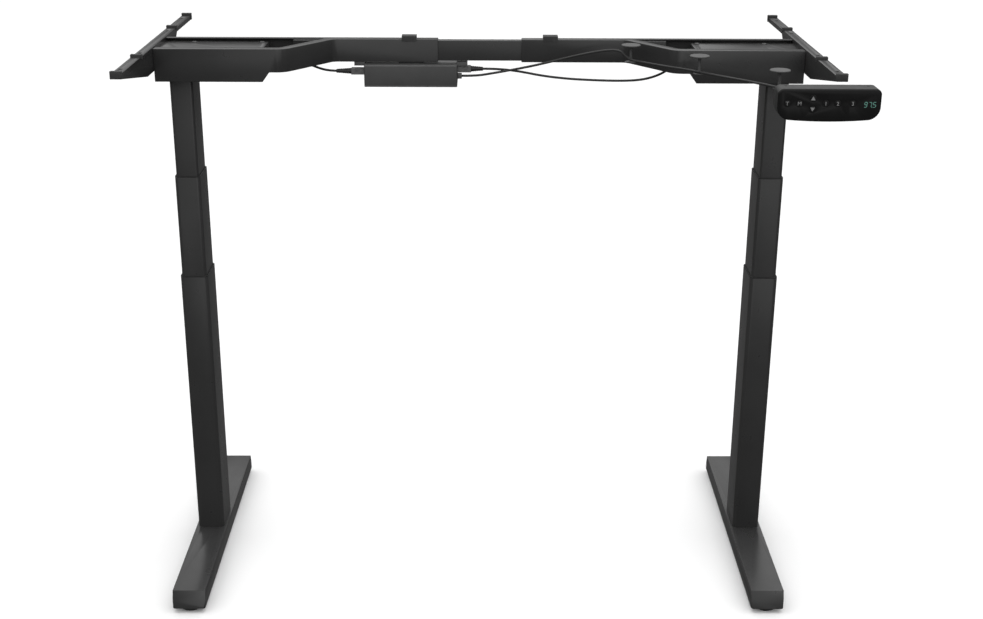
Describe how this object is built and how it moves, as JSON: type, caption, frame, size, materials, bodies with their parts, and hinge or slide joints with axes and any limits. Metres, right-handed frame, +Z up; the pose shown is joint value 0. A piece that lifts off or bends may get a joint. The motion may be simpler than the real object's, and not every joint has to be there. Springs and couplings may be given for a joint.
{
  "type": "height adjustable standing desk frame",
  "caption": "Electric sit-stand desk frame: three-stage columns on flat feet, a width-adjustable beam with side brackets, control box, cords and a key handset.",
  "frame": {"origin": "on the floor midway between the two columns", "axes": "+X to the seated user's right, along the beam; +Z up; the user stands on the -Y side"},
  "size_m": [1.1761, 0.6785, 0.975],
  "materials": {
    "frame_steel": "fine satin black powder coat",
    "guide_plastic": "dark moulded plastic",
    "pad_rubber": "dark grey rubber",
    "glide_plastic": "black plastic",
    "screw_steel": "greased steel",
    "nut_plastic": "white acetal",
    "motor_metal": "grey metal",
    "bolt_steel": "black oxide",
    "box_plastic": "fine textured plastic",
    "plug_plastic": "grey plastic",
    "cord_jacket": "black cable jacket",
    "handset_plastic": "grey moulded plastic",
    "panel_plastic": "glossy black",
    "key_plastic": "glossy black"
  },
  "bodies": {
    "left_base": {"left_foot": "frame_steel", "left_base_bolts": "bolt_steel", "left_outer_tube": "frame_steel", "left_outer_collar": "guide_plastic", "left_fixed_screw": "screw_steel"},
    "left_front_glide": {"left_front_glide": "glide_plastic"},
    "left_rear_glide": {"left_rear_glide": "glide_plastic"},
    "left_mid": {"left_middle_tube": "frame_steel", "left_middle_collar": "guide_plastic"},
    "left_screw": {"left_hollow_screw": "screw_steel"},
    "left_top": {"left_inner_tube": "frame_steel", "left_lift_nut": "nut_plastic", "left_head_casing": "frame_steel", "left_head_plate": "frame_steel", "left_gearmotor": "motor_metal", "left_top_bolts": "bolt_steel", "left_front_rail": "frame_steel", "left_rear_rail": "frame_steel", "left_side_bracket": "frame_steel", "left_pads": "pad_rubber", "control_box_cover": "box_plastic", "control_box_base": "box_plastic", "motor_plugs": "plug_plastic", "handset_plug": "box_plastic", "left_motor_cord": "cord_jacket", "right_motor_cord": "cord_jacket"},
    "left_drive": {"left_drive_tube": "screw_steel"},
    "beam_tube": {"centre_tube": "frame_steel"},
    "right_top": {"right_inner_tube": "frame_steel", "right_lift_nut": "nut_plastic", "right_head_casing": "frame_steel", "right_head_plate": "frame_steel", "right_gearmotor": "motor_metal", "right_top_bolts": "bolt_steel", "right_front_rail": "frame_steel", "right_rear_rail": "frame_steel", "right_side_bracket": "frame_steel", "right_pads": "pad_rubber", "cord_hooks": "box_plastic", "handset_cord": "cord_jacket", "handset_shell": "handset_plastic", "handset_panel": "panel_plastic"},
    "right_drive": {"right_drive_tube": "screw_steel"},
    "right_mid": {"right_middle_tube": "frame_steel", "right_middle_collar": "guide_plastic"},
    "right_screw": {"right_hollow_screw": "screw_steel"},
    "right_base": {"right_foot": "frame_steel", "right_base_bolts": "bolt_steel", "right_outer_tube": "frame_steel", "right_outer_collar": "guide_plastic", "right_fixed_screw": "screw_steel"},
    "right_front_glide": {"right_front_glide": "glide_plastic"},
    "right_rear_glide": {"right_rear_glide": "glide_plastic"},
    "key_timer": {"key_timer": "key_plastic"},
    "key_memory": {"key_memory": "key_plastic"},
    "key_up": {"key_up": "key_plastic"},
    "key_down": {"key_down": "key_plastic"},
    "key_one": {"key_one": "key_plastic"},
    "key_two": {"key_two": "key_plastic"},
    "key_three": {"key_three": "key_plastic"}
  },
  "joints": [
    {"name": "lift", "type": "slide", "parent": "left_base", "child": "left_mid", "axis": [0, 0, 1], "range_m": [-0.172, 0.138]},
    {"name": "left_top_slide", "type": "slide", "parent": "left_mid", "child": "left_top", "axis": [0, 0, 1], "range_m": [-0.172, 0.138]},
    {"name": "width_slide", "type": "slide", "parent": "left_top", "child": "right_top", "axis": [1, 0, 0], "range_m": [-0.05, 0.39], "deforming": ["right_motor_cord", "handset_cord"]},
    {"name": "beam_tube_slide", "type": "slide", "parent": "left_top", "child": "beam_tube", "axis": [1, 0, 0], "range_m": [-0.025, 0.195]},
    {"name": "right_mid_slide", "type": "slide", "parent": "right_top", "child": "right_mid", "axis": [0, 0, 1], "range_m": [-0.138, 0.172]},
    {"name": "right_base_slide", "type": "slide", "parent": "right_mid", "child": "right_base", "axis": [0, 0, 1], "range_m": [-0.138, 0.172]},
    {"name": "left_drive_spin", "type": "hinge", "parent": "left_top", "child": "left_drive", "pos_m": [-0.5175, 0, 0.5], "axis": [0, 0, 1], "range_deg": [-6202, 4978]},
    {"name": "left_screw_spin", "type": "hinge", "parent": "left_mid", "child": "left_screw", "pos_m": [-0.5175, 0, 0.5], "axis": [0, 0, 1], "range_deg": [-6202, 4978]},
    {"name": "left_front_glide_screw", "type": "slide", "parent": "left_base", "child": "left_front_glide", "axis": [0, 0, -1], "range_m": [0, 0.01]},
    {"name": "left_rear_glide_screw", "type": "slide", "parent": "left_base", "child": "left_rear_glide", "axis": [0, 0, -1], "range_m": [0, 0.01]},
    {"name": "right_drive_spin", "type": "hinge", "parent": "right_top", "child": "right_drive", "pos_m": [0.5175, 0, 0.5], "axis": [0, 0, 1], "range_deg": [-6202, 4978]},
    {"name": "right_screw_spin", "type": "hinge", "parent": "right_mid", "child": "right_screw", "pos_m": [0.5175, 0, 0.5], "axis": [0, 0, 1], "range_deg": [-6202, 4978]},
    {"name": "right_front_glide_screw", "type": "slide", "parent": "right_base", "child": "right_front_glide", "axis": [0, 0, -1], "range_m": [0, 0.01]},
    {"name": "right_rear_glide_screw", "type": "slide", "parent": "right_base", "child": "right_rear_glide", "axis": [0, 0, -1], "range_m": [0, 0.01]},
    {"name": "key_timer_press", "type": "slide", "parent": "right_top", "child": "key_timer", "axis": [0, 1, 0], "range_m": [0, 0.0006], "stiffness_N_per_m": 1000, "springref_m": -0.0005},
    {"name": "key_memory_press", "type": "slide", "parent": "right_top", "child": "key_memory", "axis": [0, 1, 0], "range_m": [0, 0.0006], "stiffness_N_per_m": 1000, "springref_m": -0.0005},
    {"name": "key_up_press", "type": "slide", "parent": "right_top", "child": "key_up", "axis": [0, 1, 0], "range_m": [0, 0.0006], "stiffness_N_per_m": 1000, "springref_m": -0.0005},
    {"name": "key_down_press", "type": "slide", "parent": "right_top", "child": "key_down", "axis": [0, 1, 0], "range_m": [0, 0.0006], "stiffness_N_per_m": 1000, "springref_m": -0.0005},
    {"name": "key_one_press", "type": "slide", "parent": "right_top", "child": "key_one", "axis": [0, 1, 0], "range_m": [0, 0.0006], "stiffness_N_per_m": 1000, "springref_m": -0.0005},
    {"name": "key_two_press", "type": "slide", "parent": "right_top", "child": "key_two", "axis": [0, 1, 0], "range_m": [0, 0.0006], "stiffness_N_per_m": 1000, "springref_m": -0.0005},
    {"name": "key_three_press", "type": "slide", "parent": "right_top", "child": "key_three", "axis": [0, 1, 0], "range_m": [0, 0.0006], "stiffness_N_per_m": 1000, "springref_m": -0.0005}
  ],
  "couplings": [
    {"joint": "left_top_slide", "follows": "lift", "ratio": 1},
    {"joint": "beam_tube_slide", "follows": "width_slide", "ratio": 0.5},
    {"joint": "right_mid_slide", "follows": "lift", "ratio": -1},
    {"joint": "right_base_slide", "follows": "lift", "ratio": -1},
    {"joint": "left_drive_spin", "follows": "lift", "rad_per_m": 628.32},
    {"joint": "left_screw_spin", "follows": "lift", "rad_per_m": 628.32},
    {"joint": "right_drive_spin", "follows": "lift", "rad_per_m": 628.32},
    {"joint": "right_screw_spin", "follows": "lift", "rad_per_m": 628.32}
  ]
}
